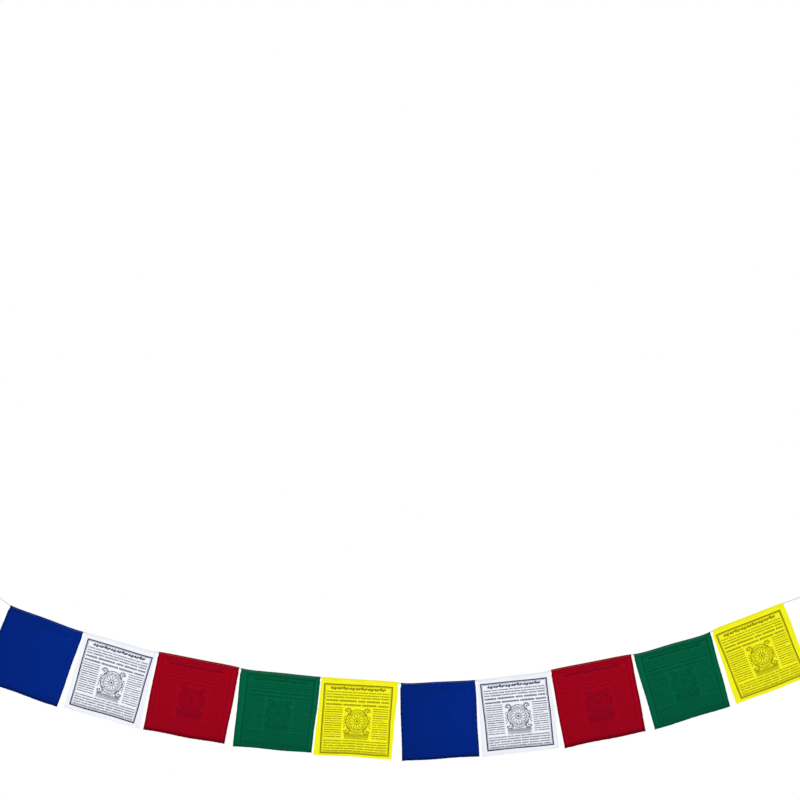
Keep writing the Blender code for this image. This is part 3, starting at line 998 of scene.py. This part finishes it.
class Nodes:
    """A short way to add and link shader nodes."""

    def __init__(self, name):
        self.material = bpy.data.materials.new(name)
        self.material.use_nodes = True
        self.tree = self.material.node_tree
        self.shader = self.tree.nodes["Principled BSDF"]

    def connect(self, socket, value):
        if isinstance(value, bpy.types.NodeSocket):
            self.tree.links.new(value, socket)
        else:
            socket.default_value = value

    def set(self, node, **inputs):
        """Sets or links some of a node's sockets, with _ for each space in their names."""
        for name, value in inputs.items():
            self.connect(node.inputs[name.replace("_", " ")], value)
        return node

    def add(self, kind, **inputs):
        return self.set(self.tree.nodes.new(kind), **inputs)

    def maths(self, operation, *values):
        node = self.add("ShaderNodeMath")
        node.operation = operation
        for socket, value in zip(node.inputs, values):
            self.connect(socket, value)
        return node.outputs[0]

    def mix(self, factor, a, b):
        node = self.add("ShaderNodeMix")
        node.data_type = "RGBA"
        for name, value in (("Factor", factor), ("A", a), ("B", b)):
            self.connect(node.inputs[name], value)
        return node.outputs["Result"]

    def noise(self, place, scale, detail, **inputs):
        return self.add("ShaderNodeTexNoise", Vector=place, Scale=scale, Detail=detail, **inputs).outputs[0]

    def stretched_noise(self, place, scale_x, scale_y):
        """Noise of the cloth's own plane, drawn out along one of its directions."""
        scaled = self.add("ShaderNodeVectorMath", Vector=place)
        scaled.operation = "MULTIPLY"
        scaled.inputs[1].default_value = (scale_x, scale_y, SLUB_LENGTHWAYS)
        return self.noise(scaled.outputs[0], 1.0, 2.0)


def opaque(colour, share=1.0):
    return (*(min(1.0, channel * share) for channel in colour), 1.0)


def cotton(nodes, coordinates, base, shade_spread):
    """Plain-woven cotton: colour that strays from thread to thread, painted shade at its edges and towards
    its bottom and left, and the weave's relief.
    """
    apart = nodes.add("ShaderNodeSeparateXYZ", Vector=coordinates)
    threads = math.tau / WEAVE_PITCH
    warp = nodes.maths("SINE", nodes.maths("MULTIPLY", apart.outputs["X"], threads))
    weft = nodes.maths("SINE", nodes.maths("MULTIPLY", apart.outputs["Y"], threads))
    weave = nodes.maths("MULTIPLY", warp, weft)
    slubs_across = nodes.stretched_noise(coordinates, SLUB_LENGTHWAYS, SLUB_ACROSS)
    slubs_along = nodes.stretched_noise(coordinates, SLUB_ACROSS, SLUB_LENGTHWAYS)
    slubs = nodes.maths("ADD", slubs_across, slubs_along)
    cloud = nodes.noise(coordinates, 26.0, 3.0)
    shade = nodes.maths("ADD", slubs, nodes.maths("MULTIPLY", cloud, 1.4))
    shade = nodes.maths("MULTIPLY", nodes.maths("SUBTRACT", shade, 0.9), 0.62)
    colour = nodes.mix(shade, opaque(base, 1 - shade_spread), opaque(base, 1 + shade_spread))
    # Painted shade: the mesh's shade attribute darkens the colour towards a dark share of the cloth's own
    darker = nodes.add("ShaderNodeAttribute")
    darker.attribute_name = "shade"
    colour = nodes.mix(darker.outputs["Fac"], colour, opaque(base, DARKEST_PAINTED_SHADE))
    relief = nodes.maths("ADD", nodes.maths("MULTIPLY", weave, 0.5), nodes.maths("MULTIPLY", slubs, 0.8))
    bump = nodes.add("ShaderNodeBump", Height=relief, Strength=0.35, Distance=0.05 * MM)
    nodes.set(nodes.shader, Base_Color=colour, Normal=bump.outputs["Normal"])


def tint_of(base):
    """The cloth's colour at full strength, for the little light that its fibres throw back."""
    return opaque(base, 1 / max(base))


def cloth_material(name, base):
    nodes = Nodes(f"cotton_{name}")
    coordinates = nodes.add("ShaderNodeUVMap")
    coordinates.uv_map = "weave"
    cotton(nodes, coordinates.outputs["UV"], base, 0.10)
    nodes.set(
        nodes.shader,
        Roughness=0.9,
        Specular_IOR_Level=0.08,
        Specular_Tint=tint_of(base),
        Sheen_Weight=0.05,
        Sheen_Roughness=0.6,
        Sheen_Tint=tint_of(base),
    )
    return nodes.material


def ink_material(name, dye, ink, thinnest):
    """Ink that has sunk into the cloth, thinner in places by a share of up to thinnest."""
    nodes = Nodes(name)
    place = nodes.add("ShaderNodeTexCoord").outputs["Object"]
    worn = nodes.noise(place, 420.0, 3.0, Roughness=0.65)
    patches = nodes.noise(place, 22.0, 2.0)
    total = nodes.maths("ADD", worn, nodes.maths("MULTIPLY", patches, 0.6))
    thin = nodes.add("ShaderNodeMapRange", Value=total, From_Min=0.70, From_Max=1.15, To_Max=thinnest)
    nodes.set(
        nodes.shader,
        Base_Color=nodes.mix(thin.outputs["Result"], opaque(ink), opaque(dye.cloth)),
        Roughness=0.85,
        Specular_IOR_Level=0.06,
        Specular_Tint=tint_of(dye.cloth),
    )
    return nodes.material


def thread_material(name, colour, spread):
    """Spun thread or cord, a little lighter and darker along its fibres."""
    nodes = Nodes(name)
    place = nodes.add("ShaderNodeTexCoord").outputs["Object"]
    fibres = nodes.noise(place, 1800.0, 3.0)
    soil = nodes.noise(place, 60.0, 2.0)
    shade = nodes.maths("ADD", nodes.maths("MULTIPLY", fibres, 0.6), soil)
    shade = nodes.maths("SUBTRACT", shade, 0.3)
    bump = nodes.add("ShaderNodeBump", Height=fibres, Strength=0.5, Distance=0.06 * MM)
    nodes.set(
        nodes.shader,
        Base_Color=nodes.mix(shade, opaque(colour, 1 - spread), opaque(colour, 1 + spread)),
        Normal=bump.outputs["Normal"],
        Roughness=0.88,
        Specular_IOR_Level=0.15,
    )
    return nodes.material


# The studio

def make_camera():
    data = bpy.data.cameras.new("camera")
    data.lens = LENS_MM
    data.sensor_width = SENSOR_MM
    camera = bpy.data.objects.new("camera", data)
    link(camera)
    half = FRAME_PIXELS / 2
    distance = FRAME_PIXELS * PIXEL * LENS_MM / SENSOR_MM
    camera.location = ((half - ORIGIN_PIXEL_X) * PIXEL, -distance, (ORIGIN_PIXEL_Y - half) * PIXEL)
    camera.rotation_euler = (math.radians(90), 0.0, 0.0)
    data.clip_end = FARTHEST_SEEN
    bpy.context.scene.camera = camera


def add_lamp(name, lamp):
    """A round soft lamp that is turned towards the string's middle."""
    data = bpy.data.lights.new(name, "AREA")
    data.shape = "DISK"
    data.size = lamp.size
    data.energy = lamp.power
    obj = bpy.data.objects.new(name, data)
    obj.visible_camera = False
    obj.location = lamp.place
    direction = Vector(LAMP_TARGET) - Vector(lamp.place)
    obj.rotation_euler = direction.to_track_quat("-Z", "Y").to_euler()
    link(obj)


def make_studio():
    """A white room: a pale floor, soft lamps, and a surround that the camera sees as plain white."""
    world = bpy.data.worlds.new("studio")
    bpy.context.scene.world = world
    world.use_nodes = True
    tree = world.node_tree
    seen = tree.nodes["Background"]
    seen.inputs["Color"].default_value = WHITE
    seen.inputs["Strength"].default_value = 1.0
    glow = tree.nodes.new("ShaderNodeBackground")
    glow.inputs["Color"].default_value = GLOW_COLOUR
    glow.inputs["Strength"].default_value = GLOW_STRENGTH
    ray = tree.nodes.new("ShaderNodeLightPath")
    mix = tree.nodes.new("ShaderNodeMixShader")
    tree.links.new(ray.outputs["Is Camera Ray"], mix.inputs[0])
    tree.links.new(glow.outputs[0], mix.inputs[1])
    tree.links.new(seen.outputs[0], mix.inputs[2])
    tree.links.new(mix.outputs[0], tree.nodes["World Output"].inputs["Surface"])
    for name, lamp in LAMPS.items():
        add_lamp(name, lamp)
    bpy.ops.mesh.primitive_plane_add(size=FLOOR_SIZE, location=FLOOR_MIDDLE)
    floor = bpy.context.object
    floor.name = "floor"
    nodes = Nodes("pale_floor")
    grain = nodes.add("ShaderNodeTexNoise", Scale=3.0, Detail=2.0)
    nodes.set(
        nodes.shader,
        Base_Color=nodes.mix(grain.outputs[0], *FLOOR_TONES),
        Roughness=0.9,
        Specular_IOR_Level=0.1,
    )
    floor.data.materials.append(nodes.material)
    bpy.context.scene.view_settings.view_transform = "Standard"


def main():
    make_camera()
    route = [(x, 0.0, z) for x, z in CORD_ROUTE]
    line = Line(smooth_curve(route, CURVE_STEPS))
    cord_fabric = thread_material("cord_cotton", CORD_COLOUR, 0.22)
    sewing = thread_material("sewing_thread", THREAD_COLOUR, 0.15)

    cord, cord_path = make_cord(line, cord_fabric)
    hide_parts("cord")
    left_loop = make_end_loop("loop_left", route[0], MOUNTS["left_end"], cord_fabric)
    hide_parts("end_loop_left")
    right_loop = make_end_loop("loop_right", route[-1], MOUNTS["right_end"], cord_fabric)
    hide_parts("end_loop_right")
    for piece in (cord, left_loop, right_loop):
        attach(piece, "root")

    cloths = {name: cloth_material(name, dye.cloth) for name, dye in DYES.items()}
    inks, deep_inks, ghosts = {}, {}, {}
    for name, dye in DYES.items():
        inks[name] = ink_material(f"ink_{name}", dye, dye.ink, INK_WEAR)
        if dye.deep_ink:
            deep_inks[name] = ink_material(f"deep_ink_{name}", dye, dye.deep_ink, INK_WEAR)
        ghost_ink = tuple(c + (i - c) * GHOST_SHARE for c, i in zip(dye.cloth, dye.ink))
        ghosts[name] = ink_material(f"ink_behind_{name}", dye, ghost_ink, GHOST_WEAR)
    design = draw_print()
    ghost = draw_ghost()
    start = 0.0
    for number, (flag, block) in enumerate(zip(FLAGS, BLOCKS), 1):
        start += flag.gap * MM
        colour = flag.name.split("_")[-1]
        dye = DYES[colour]
        cloth = Cloth(flag, line, start, FLAG_SEED + number)
        start += cloth.width
        sheet, cut_length = make_cloth(cloth, dye, cloths[colour])
        printed = lay_print(cloth, block, design, inks[colour], f"ink_{cloth.name}", 1)
        if colour in deep_inks:
            deepen(printed, design, dye.deep_parts, deep_inks[colour])
        trims = [
            printed,
            lay_print(cloth, block, ghost, ghosts[colour], f"ink_behind_{cloth.name}", -1),
            make_stitches(cloth, sewing, f"stitches_{number:02d}"),
            make_fray(cloth, cloths[colour], f"fray_{cloth.name}"),
        ]
        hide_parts(flag.name)
        for piece in (sheet, *trims):
            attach(piece, "root")

    tuple(line.at(0.0))
    [tuple(point) for point in cord_path]
    make_studio()


main()
